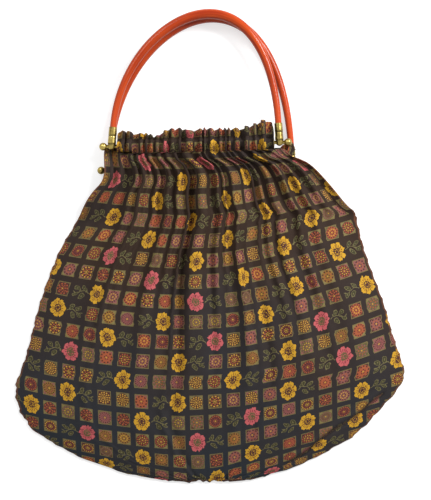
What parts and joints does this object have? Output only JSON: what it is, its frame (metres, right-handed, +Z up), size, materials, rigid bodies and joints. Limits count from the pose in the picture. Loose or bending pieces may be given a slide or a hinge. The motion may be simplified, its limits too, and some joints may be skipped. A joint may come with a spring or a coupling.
{
  "type": "handbag",
  "caption": "Soft gathered cloth handbag lying flat, its two panels shirred on brass rods that carry swinging bent round-bar handles with ferrules and ball nuts.",
  "frame": {"origin": "on the surface that the bag lies on, at the centre of the bag's plan", "axes": "+X to the right as the front is seen, +Y from the bottom seam towards the handles, +Z up from the back panel to the front panel"},
  "size_m": [0.432, 0.521, 0.0255],
  "materials": {
    "printed_cloth": "woven cotton with small printed squares and flowers on a near-black ground",
    "brass": "aged and slightly dull, dark in the grooves",
    "handle_plastic": "glossy orange-red, a little streaked"
  },
  "bodies": {
    "bag": {"front_panel": "printed_cloth", "back_panel": "printed_cloth", "front_rod": "brass", "rear_rod": "brass", "front_left_ball": "brass", "front_right_ball": "brass", "rear_left_ball": "brass", "rear_right_ball": "brass"},
    "front_handle_set": {"front_handle": "handle_plastic", "front_left_ferrule": "brass", "front_right_ferrule": "brass"},
    "rear_handle_set": {"rear_handle": "handle_plastic", "rear_left_ferrule": "brass", "rear_right_ferrule": "brass"}
  },
  "joints": [
    {"name": "front_handle_swing", "type": "hinge", "parent": "bag", "child": "front_handle_set", "pos_m": [0, 0.1125, 0.02], "axis": [1, 0, 0], "range_deg": [0, 150]},
    {"name": "rear_handle_swing", "type": "hinge", "parent": "bag", "child": "rear_handle_set", "pos_m": [0, 0.0875, 0.0066], "axis": [1, 0, 0], "range_deg": [-150, 0]}
  ]
}
